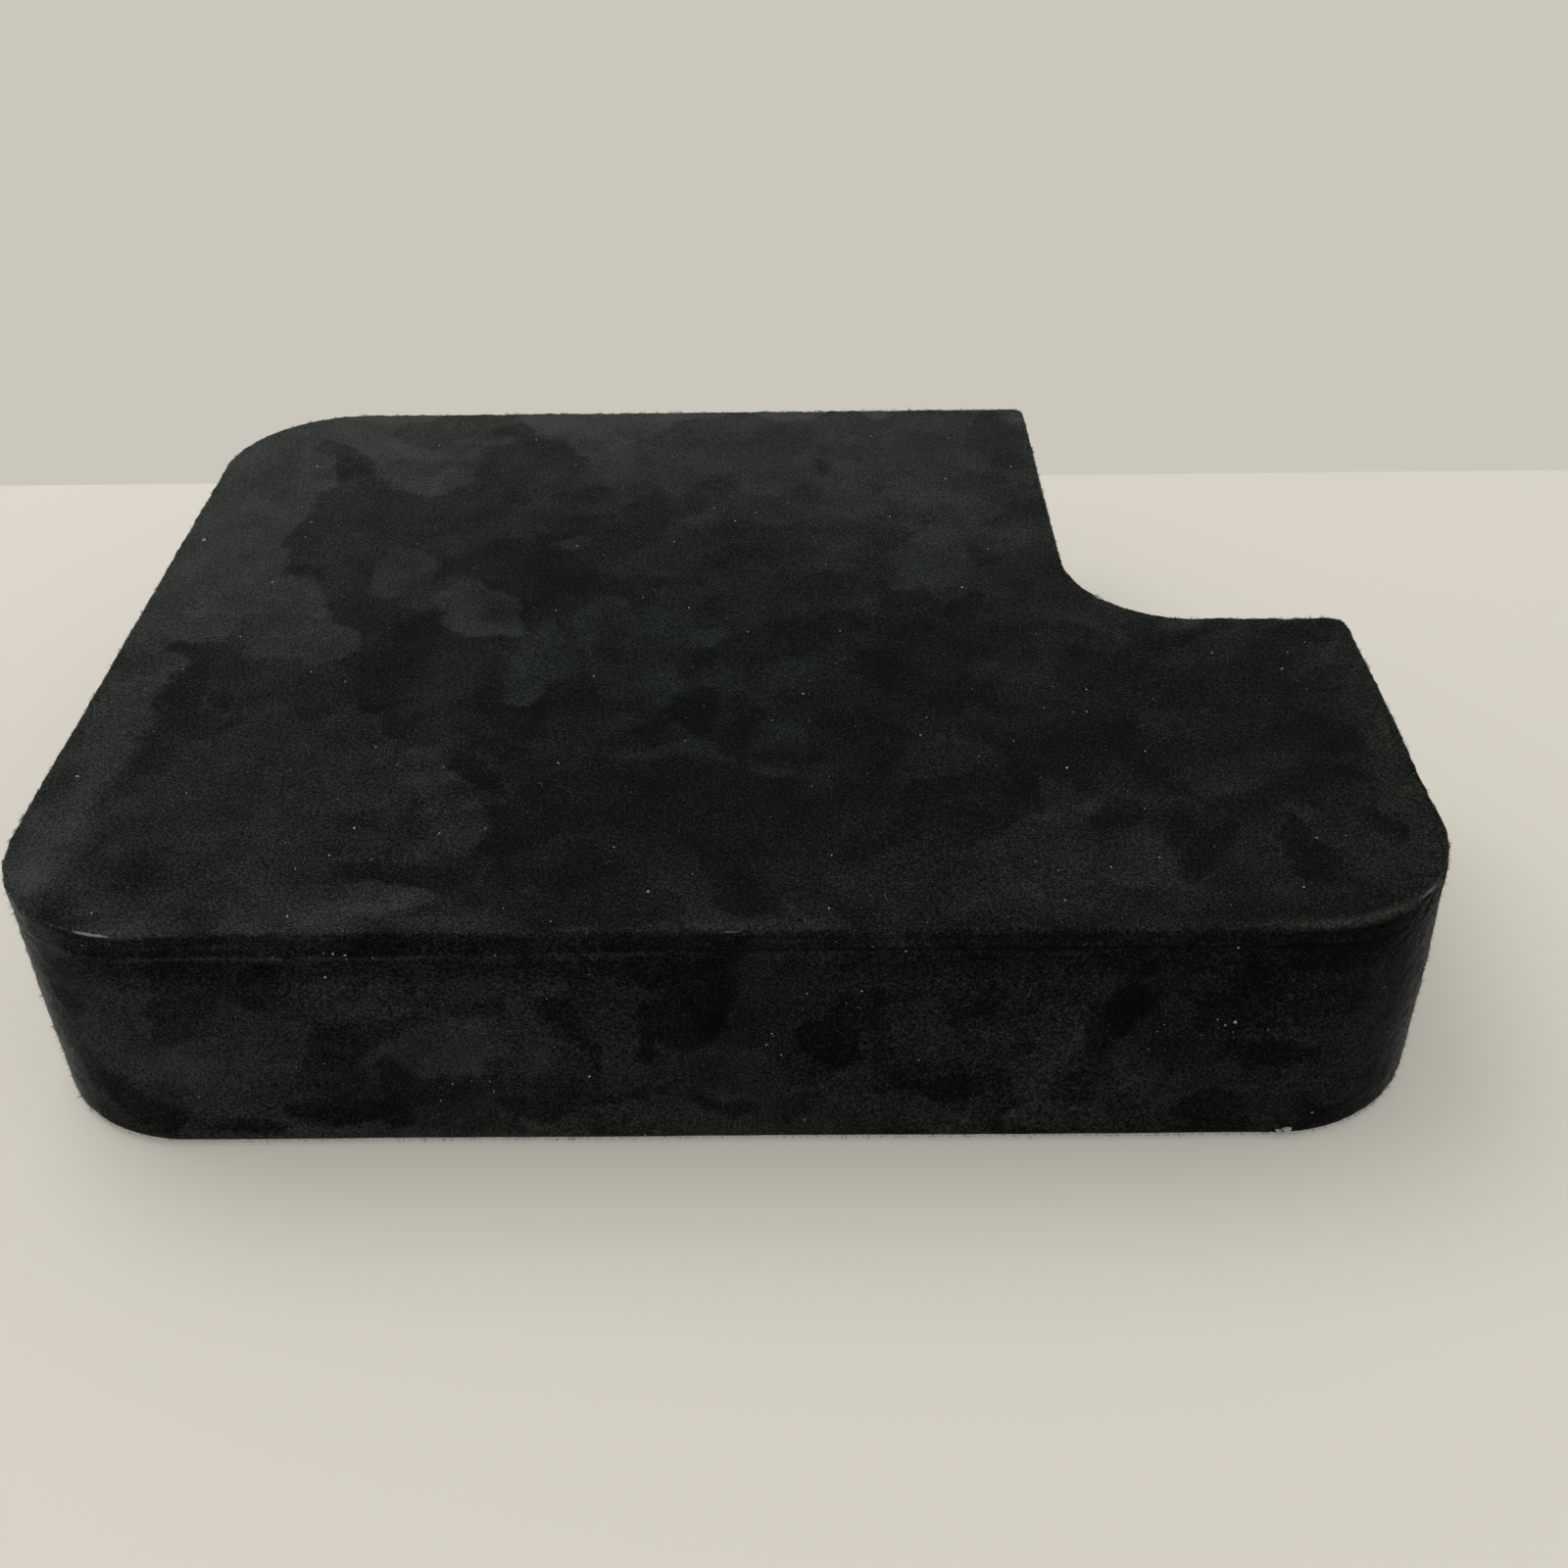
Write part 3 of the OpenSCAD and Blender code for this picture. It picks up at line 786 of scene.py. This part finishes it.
def edgeNap():  # denser along the top edge and the foot, where it shows against the light
    draw = np.random.default_rng(nap["seed"] + 2)
    run = draw.uniform(0, wallLength, fibre["edge"])
    turn = np.radians(draw.uniform(*fibre["edgeTurn"], fibre["edge"]))
    bottom = draw.uniform(0, 1, len(run)) < fibre["footShare"]
    turn = np.where(bottom, turn * fibre["footTurn"], turn)
    radius = np.where(bottom, block["edgeR"], wear["edgeR"])
    centre = np.where(bottom, radius, blockH - radius)
    walls, outs, across = onWall(run, centre)
    lean = np.where(bottom, -1, 1) * np.sin(turn)
    places = walls - outs * (radius * (1 - np.cos(turn)))[:, None]
    places[:, 2] += radius * lean
    outs = outs * np.cos(turn)[:, None]
    outs[:, 2] = lean
    places[:, 2] += wear["bead"] * edgeBead(run, radius * (1 - np.cos(turn))) * np.maximum(lean, 0)
    upper = lean > 0.5 + 0.38 * edgeSharp(run)
    tone = wallTone(places, run)
    # fibres on the top edge a little lighter, as the painted highlight along that edge
    tone = tone + upper * (topTone(places) - tone + 0.1)
    return napOn("edgeNap", places, outs, across, tone, fibre["edgeLength"], draw)


# Dust and lint caught in the nap

dust = {
    "top": 330,
    "wall": 150,
    "clusters": (  # more on the wall: place along it, height, width, tallness, count
        (67, 22, 8, 2.2, 10), (-36, 11.5, 7, 3, 6), (-50, 35.5, 26, 0.6, 6),
        (84, 26.5, 13, 5, 8), (-97, 24.5, 22, 14, 22),
    ),
    "radius": (0.05, 0.17),
    "lumpy": (0.6, 1.25),
    "flattened": (0.35, 1.3),
    "lint": 54,
    "lintOnTop": 1 / 3,  # the share of it
    "lintPoints": 8,  # along a thread
    "lintLength": (0.4, 2.4),
    "lintWidth": (0.03, 0.06),
    "lintTip": 0.4,  # a thread's width at its ends, as a share
    "lintLift": (0.1, 0.25),  # off the suede at its ends, and how much more in its middle
    "lintBend": 2.2,  # how far a thread turns, in radians
    "seed": 21,
}

# The larger crumbs on the top: x, y, radius
topCrumbs = [
    (-96, 27.5, 0.42), (-81, -6, 0.24), (-95, -45, 0.26), (-52, -58, 0.22), (-80, 12, 0.18),
    (-10, -72.5, 0.26), (14.5, -65, 0.26), (61, -41, 0.24), (42, -38, 0.16), (49, -45, 0.18),
    (-78, 34, 0.2), (-82, 57, 0.2), (-67, -17, 0.22), (-22, -19, 0.2), (-57, -77, 0.2), (-60, 66, 0.2),
    (-23, 37, 0.22), (-5, 38, 0.2), (27, 34, 0.2), (-1, 33, 0.18), (51, 54, 0.2), (-8, 2, 0.18),
    (38, 8, 0.2), (2, -6, 0.2), (17, -6, 0.18), (88, -14, 0.2), (20, -46, 0.18), (45, -75, 0.2),
    (52, -68, 0.18), (81, -62, 0.18), (-34, 41, 0.2), (-61, -20, 0.2), (-83, -76, 0.24),
]

# The crumbs stuck along the foot of the front: x, height, radius
footCrumbs = [
    (77.2, 1.6, 0.75), (78.2, 2.1, 0.6), (76.2, 1.3, 0.45), (53.7, 0.9, 0.3), (-12, 1.7, 0.2), (30, 1.3, 0.2),
]

# The larger crumbs on the front wall: place along it from its middle, height, radius
wallCrumbs = [
    (68.2, 22.7, 0.26), (67, 22.1, 0.24), (65.8, 23.2, 0.16), (72.8, 21.4, 0.22), (57.2, 17.8, 0.18),
    (18.2, 28.8, 0.16), (11, 28.4, 0.14), (81.5, 4.9, 0.18), (10.5, 4.5, 0.18), (-19, 13.3, 0.2),
    (-38, 12, 0.18), (-35.3, 12.6, 0.18), (-32.8, 12.5, 0.2), (-32.5, 10.6, 0.18), (-40, 8.8, 0.16),
    (-37.4, 27, 0.16), (-35.2, 19.7, 0.14), (-52.3, 32, 0.16), (-50.6, 36.1, 0.18), (-49, 35.9, 0.22),
    (-29.6, 35.6, 0.2), (-59, 15.5, 0.14), (-55, 16.1, 0.14), (-73.5, 9.9, 0.14), (-83.5, 37, 0.16),
    (66.8, 35.9, 0.18), (23.8, 35.7, 0.16), (19.5, 36.5, 0.14), (7.4, 17.2, 0.13), (58, 21, 0.12),
    (-107, 38.4, 0.24), (-103.2, 38.4, 0.2), (-99, 38.5, 0.14),
]


def scatterDust():
    draw = np.random.default_rng(dust["seed"])
    places, _, _ = onTop(draw, dust["top"] * 2, dust["top"])
    low, high = dust["radius"]
    spots = [(*place, low + (high - low) * draw.uniform() ** 2.5) for place in places]
    spots += [(x, y, blockH, radius) for x, y, radius in topCrumbs]
    runs, heights = draw.uniform(0, wallLength, dust["wall"]), draw.uniform(1, blockH - 1, dust["wall"])
    for run, height, wide, tall, count in dust["clusters"]:
        runs = np.append(runs, draw.normal(run, wide / 2, count) % wallLength)
        heights = np.append(heights, draw.normal(height, tall / 2, count))
    places, _, _ = onWall(runs, heights)
    spots += [(*place, low + 0.8 * (high - low) * draw.uniform() ** 3) for place in places]
    runs, heights, radii = np.array(wallCrumbs).T
    places, _, _ = onWall(runs % wallLength, heights)
    spots += [(*place, radius) for place, radius in zip(places, radii)]
    spots += [(x, -blockW / 2 - 0.1, z, radius) for x, z, radius in footCrumbs]
    ball = bmesh.new()
    bmesh.ops.create_icosphere(ball, subdivisions=1, radius=1)
    shape = np.array([v.co[:] for v in ball.verts])
    shapeFaces = np.array([[v.index for v in face.verts] for face in ball.faces])
    ball.free()
    points, faces = [], []
    for i, (x, y, z, radius) in enumerate(spots):
        lumpy = shape * draw.uniform(*dust["lumpy"], (len(shape), 1))
        lumpy = lumpy * draw.uniform(*dust["flattened"], 3) * radius
        points.append(lumpy + (x, y, z + radius * 0.2))
        faces.append(shapeFaces + i * len(shape))
    print(f"dust: {len(spots)} crumbs")
    return newPiece("dust", np.concatenate(points), np.concatenate(faces).tolist())


def scatterLint():  # short curved threads lying on the nap, each a closed tube with four sides
    draw = np.random.default_rng(dust["seed"] + 1)
    count = dust["lint"]
    tops = onTop(draw, count * 2, round(count * dust["lintOnTop"]), 2.0)
    rest = count - len(tops[0])
    walls = onWall(draw.uniform(0, wallLength, rest), draw.uniform(2, blockH - 5, rest))
    starts, outs, across = (np.vstack(both) for both in zip(tops, walls))
    rows = np.arange(dust["lintPoints"])
    lift, arch = dust["lintLift"]
    points, faces = [], []
    for i, (start, out, along) in enumerate(zip(starts, outs, across)):
        length = dust["lintLength"][0] + np.ptp(dust["lintLength"]) * draw.uniform() ** 2
        turns = draw.uniform(0, math.tau) + draw.uniform(-1, 1) * dust["lintBend"] * rows / len(rows)
        ways = np.cos(turns)[:, None] * along + np.sin(turns)[:, None] * np.cross(out, along)
        path = start + np.cumsum(ways, axis=0) * length / len(rows)
        path += out * (lift + arch * draw.uniform() * np.sin(math.pi * rows / rows[-1]))[:, None]
        ends = (rows == 0) | (rows == rows[-1])
        width = draw.uniform(*dust["lintWidth"]) / 2 * np.where(ends, dust["lintTip"], 1)[:, None]
        sides = np.cross(ways, out)
        tube = [path + sides * width, path + out * width, path - sides * width, path - out * width]
        points.append(np.stack(tube, axis=1).reshape(-1, 3))
        first = i * 4 * len(rows)
        for row in rows[:-1]:
            for k in range(4):
                a, b = first + row * 4 + k, first + row * 4 + (k + 1) % 4
                faces.append((a, b, b + 4, a + 4))
        last = first + 4 * len(rows) - 4
        faces += [tuple(first + k for k in (3, 2, 1, 0)), tuple(last + k for k in (0, 1, 2, 3))]
    print(f"lint: {len(starts)} threads")
    return newPiece("lint", np.concatenate(points), [tuple(int(v) for v in face) for face in faces])


# Shader sums written as Python

class Wire:  # one socket of a shader's nodes
    def __init__(self, tree, socket=None):
        self.tree, self.socket = tree, socket

    def node(self, kind, settings=None, values=None, out=0):  # any node: its settings first, then its sockets
        made = self.tree.nodes.new(kind)
        for name, value in (settings or {}).items():
            setattr(made, name, value)
        for name, value in (values or {}).items():
            if isinstance(value, Wire):
                self.tree.links.new(value.socket, made.inputs[name])
            else:
                made.inputs[name].default_value = value
        return Wire(self.tree, made.outputs[out])

    def sum(self, operation, *values):
        return self.node("ShaderNodeMath", {"operation": operation}, dict(enumerate(values)))

    def __add__(self, other):
        return self.sum("ADD", self, other)

    def __radd__(self, other):
        return self.sum("ADD", other, self)

    def __sub__(self, other):
        return self.sum("SUBTRACT", self, other)

    def __rsub__(self, other):
        return self.sum("SUBTRACT", other, self)

    def __mul__(self, other):
        return self.sum("MULTIPLY", self, other)

    def __rmul__(self, other):
        return self.sum("MULTIPLY", other, self)

    def within(self, low, high):  # smoothly from 0 at low to 1 at high
        smoothly = {"interpolation_type": "SMOOTHSTEP"}
        return self.node("ShaderNodeMapRange", smoothly, {0: self, 1: low, 2: high})

    def between(self, first, second):  # this mask between two colours
        ends = {6: first, 7: second}
        ends = {k: v if isinstance(v, Wire) else (*v, 1) for k, v in ends.items()}
        return self.node("ShaderNodeMix", {"data_type": "RGBA"}, {0: self, **ends}, 2)

    def versus(self, operation, vector):  # one number from this place and a vector
        return self.node("ShaderNodeVectorMath", {"operation": operation}, {0: self, 1: vector}, "Value")

    def grain(self, size, detail, rough):  # noise from 0 to 1 at this place, with grains of that size
        sockets = {"Vector": self, "Scale": 1 / size, "Detail": detail, "Roughness": rough}
        return self.node("ShaderNodeTexNoise", None, sockets)

    def relief(self, strength, depth):  # this height as a bump
        return self.node("ShaderNodeBump", None, {"Strength": strength, "Distance": depth, "Height": self})


def newFinish(name, plain):  # a material with these plain values, where its nodes start, and its shader
    made = bpy.data.materials.new(name)
    made.use_nodes = True
    shader = made.node_tree.nodes["Principled BSDF"]
    for socket, value in plain.items():
        shader.inputs[socket].default_value = value
    return made, Wire(made.node_tree), shader


def feed(wire, shader, socket):
    wire.tree.links.new(wire.socket, shader.inputs[socket])


suede = {
    "dark": (0.0032, 0.0040, 0.0032),  # nap brushed away from the light
    "light": (0.0552, 0.0607, 0.0558),  # nap brushed towards it
    "cool": (0.0462, 0.0618, 0.0606),  # and in the middle of the top
    "warm": (0.0568, 0.0594, 0.0462),  # and along the right
    "coolPlace": (0.002, -0.022, blockH * mm),
    "coolReach": (0.080, 0.015),  # from where it starts to where it is full
    "warmReach": (0.020, 0.090),
    "rubbedGlint": (0.22, 0.22, 0.215),  # nap rubbed flat, pale as a painted highlight
    "mottle": (9 * mm, 5, 0.66, 0.56),  # grain size, detail, roughness, how much it changes the tone
    "tufts": (0.62 * mm, 1, 0.5, 0.42),
    "fibres": (0.31 * mm, 1, 0.5, 1.35),
    "roughness": (0.98, 0.5),  # of the nap, and how much less where it is rubbed flat
    "bump": (0.8, 0.14 * mm),
    "plain": {
        "Sheen Weight": 0.4,
        "Sheen Roughness": 0.25,
        "Sheen Tint": (0.9, 0.93, 0.88, 1),
        "Specular IOR Level": 0.02,
    },
}


def suedeFinish():
    made, start, shader = newFinish("syntheticSuede", suede["plain"])
    place = start.node("ShaderNodeTexCoord", out="Object")
    lay = start.node("ShaderNodeAttribute", {"attribute_name": "brushed"}, out="Fac")
    rubbedGlint = start.node("ShaderNodeAttribute", {"attribute_name": "rubbedGlint"}, out="Fac")
    mottle, tufts, fibres = (place.grain(*suede[name][:3]) for name in ("mottle", "tufts", "fibres"))
    tone = lay + (mottle - 0.5) * suede["mottle"][3] + (tufts - 0.5) * suede["tufts"][3]
    tone = tone + (fibres - 0.5) * suede["fibres"][3]
    tone = tone.sum("MAXIMUM", tone, 0)
    # where the nap is rubbed flat: paler as a painted highlight, and smoother
    flat = (rubbedGlint * (0.5 + tufts)).within(0.25, 0.85)
    middle = place.versus("DISTANCE", suede["coolPlace"])
    right = place.versus("DOT_PRODUCT", (1, 0, 0))
    light = right.within(*suede["warmReach"]).between(suede["light"], suede["warm"])
    light = middle.within(*suede["coolReach"]).between(light, suede["cool"])
    feed(flat.between((tone * tone).between(suede["dark"], light), suede["rubbedGlint"]), shader, "Base Color")
    standing, rubbedLess = suede["roughness"]
    feed(standing - flat * rubbedLess, shader, "Roughness")
    feed((tufts * 0.6 + fibres * 0.4).relief(*suede["bump"]), shader, "Normal")
    return made


foam = {
    "wall": (0.028, 0.028, 0.030),
    # painted shade in the cells' pits
    "cellPitShade": (0.010, 0.010, 0.011),
    "cellSize": 0.45 * mm,
    "cellWall": (0.02, 0.2),  # from the middle of a cell's wall to its pit, as shares of a cell
    "bump": (0.7, 0.15 * mm),
    "plain": {"Roughness": 0.9, "Specular IOR Level": 0.2},
}


def foamFinish():
    made, start, shader = newFinish("firmFoam", foam["plain"])
    sockets = {"Vector": start.node("ShaderNodeTexCoord", out="Object"), "Scale": 1 / foam["cellSize"]}
    cells = start.node("ShaderNodeTexVoronoi", {"feature": "DISTANCE_TO_EDGE"}, sockets, "Distance")
    # the cells' pits darker: painted shade
    shadedPits = cells.within(*foam["cellWall"])
    feed(shadedPits.between(foam["wall"], foam["cellPitShade"]), shader, "Base Color")
    feed((1 - shadedPits).relief(*foam["bump"]), shader, "Normal")
    return made


def plainFinish(name, colour):
    return newFinish(name, {"Base Color": (*colour, 1), "Roughness": 0.95, "Specular IOR Level": 0.02})[0]


def fibreFinishes():  # one plain shade for each step of tone, as the suede's own colours run
    finishes = []
    for i in range(fibre["shades"]):
        share = ((i + 0.5) / fibre["shades"]) ** 2
        colour = [dark + (light - dark) * share for dark, light in zip(suede["dark"], suede["light"])]
        finishes.append(plainFinish(f"napShade{i}", colour))
    return finishes


def dress(piece, finishes, slot, *nodes):  # finishes, body and the CAD nodes that it stands for, which it hides; slot is not used
    for finish in finishes:
        piece.data.materials.append(finish)
    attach(piece, "root")
    if nodes:
        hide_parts(*nodes)


napped = [suedeFinish()]
topCover, sideBand, basePanel = buildTopCover(), buildSideBand(), buildBasePanel()
dress(topCover, napped, "suede", "top_cover")
dress(sideBand, napped, "suede", "side_band")
dress(basePanel, napped, "suede", "base_panel")
shades = fibreFinishes()
for piece in (topNap(), wallNap(), edgeNap()):
    dress(piece, shades, "suede")
pale = (
    (scatterDust(), "paleDust", (0.42, 0.42, 0.38)),
    (scatterLint(), "paleLint", (0.2, 0.2, 0.185)),
)
for piece, name, colour in pale:
    piece.data.materials.append(plainFinish(name, colour))
    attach(piece, "root")
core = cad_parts["foam_core"]
core.data.materials.clear()
core.data.materials.append(foamFinish())


# Floor, backdrop, lamp and camera

stage = {
    "floor": (0.60, 0.565, 0.495),
    "floorGlow": (0.20, 0.188, 0.165),  # added for the camera: a pale foam sheet lets light into its shadows
    "floorHalf": 8000,  # millimetres, and so are the backdrop's sizes
    "backdrop": (0.600, 0.570, 0.505),  # as the camera sees it
    "backdropHalf": 1500,
    "backdropY": 130,
    "backdropHigh": 1200,
    "lampPlace": (-0.5, 0.3, 1.15),  # metres
    "lampTarget": (0, 0.02, 0.02),
    "lampSize": 1.0,
    "lampPower": 5.5,
    "lampColour": (1.0, 0.985, 0.96),
    "around": (0.588, 0.594, 0.6),  # light from all round
}


def stagePlane(name, corners, plain):
    made, start, shader = newFinish(name, plain)
    plane = newPiece(name, corners, [(0, 1, 2, 3)])
    plane.data.materials.append(made)
    return plane, start, shader


def layFloor():
    half = stage["floorHalf"]
    corners = [(-half, -half, 0), (half, -half, 0), (half, half, 0), (-half, half, 0)]
    _, start, shader = stagePlane("floor", corners, {
        "Base Color": (*stage["floor"], 1),
        "Emission Color": (*stage["floorGlow"], 1),
        "Roughness": 1,
        "Specular IOR Level": 0,
    })
    feed(start.node("ShaderNodeLightPath", out="Is Camera Ray"), shader, "Emission Strength")


def hangBackdrop():  # seen only by the camera and only from its front, so it shades nothing and hides nothing
    half, back, top = stage["backdropHalf"], stage["backdropY"], stage["backdropHigh"]
    corners = [(-half, back, 0), (half, back, 0), (half, back, top), (-half, back, top)]
    plane, start, _ = stagePlane("backdrop", corners, {})
    plane.visible_shadow = plane.visible_diffuse = plane.visible_glossy = plane.visible_transmission = False
    behind = start.node("ShaderNodeNewGeometry", out="Backfacing")
    clear = start.node("ShaderNodeBsdfTransparent")
    plain = start.node("ShaderNodeEmission", None, {"Color": (*stage["backdrop"], 1)})
    seen = start.node("ShaderNodeMixShader", None, {0: behind, 1: plain, 2: clear})
    feed(seen, start.tree.nodes["Material Output"], "Surface")


def hangLamp():
    lamp = bpy.data.lights.new("skyLamp", "AREA")
    lamp.shape, lamp.size = "DISK", stage["lampSize"]
    lamp.energy, lamp.color = stage["lampPower"], stage["lampColour"]
    holder = linked("skyLamp", lamp)
    holder.location = stage["lampPlace"]
    holder.rotation_mode = "QUATERNION"
    ahead = Vector(stage["lampTarget"]) - Vector(stage["lampPlace"])
    holder.rotation_quaternion = ahead.to_track_quat("-Z", "Y")


def lightRound():  # lights the object from all round, and shows the camera the backdrop's colour
    world = bpy.data.worlds.new("studio")
    bpy.context.scene.world = world
    world.use_nodes = True
    start = Wire(world.node_tree)
    seen = start.node("ShaderNodeLightPath", out="Is Camera Ray")
    feed(seen.between(stage["around"], stage["backdrop"]), world.node_tree.nodes["Background"], "Color")


layFloor()
hangBackdrop()
hangLamp()
lightRound()

view = {
    "place": (0.010186, -0.253989, 0.187957),  # metres
    "pitch": 35.909,  # degrees down from level
    "yaw": -0.6162,  # right of +Y
    "roll": -0.8515,
    "lens": 40.56975,  # millimetres
    "sensor": 36,
    "clip": (0.01, 20),
}


def placeCamera():
    camera = bpy.data.cameras.new("camera")
    camera.sensor_width, camera.lens = view["sensor"], view["lens"]
    camera.clip_start, camera.clip_end = view["clip"]
    holder = linked("camera", camera)
    pitch, yaw, roll = (math.radians(view[name]) for name in ("pitch", "yaw", "roll"))
    ahead = Vector((math.sin(yaw) * math.cos(pitch), math.cos(yaw) * math.cos(pitch), -math.sin(pitch)))
    right = Vector((math.cos(yaw), -math.sin(yaw), 0))
    above = right.cross(ahead)
    rolledRight = right * math.cos(roll) + above * math.sin(roll)
    rolledAbove = above * math.cos(roll) - right * math.sin(roll)
    turn = holder.matrix_basis.to_3x3()
    turn.col[0], turn.col[1], turn.col[2] = rolledRight, rolledAbove, -ahead
    holder.rotation_mode = "QUATERNION"
    holder.rotation_quaternion = turn.to_quaternion()
    holder.location = view["place"]
    bpy.context.scene.camera = holder


placeCamera()
bpy.context.scene.view_settings.view_transform = "Standard"
print("scene ready")
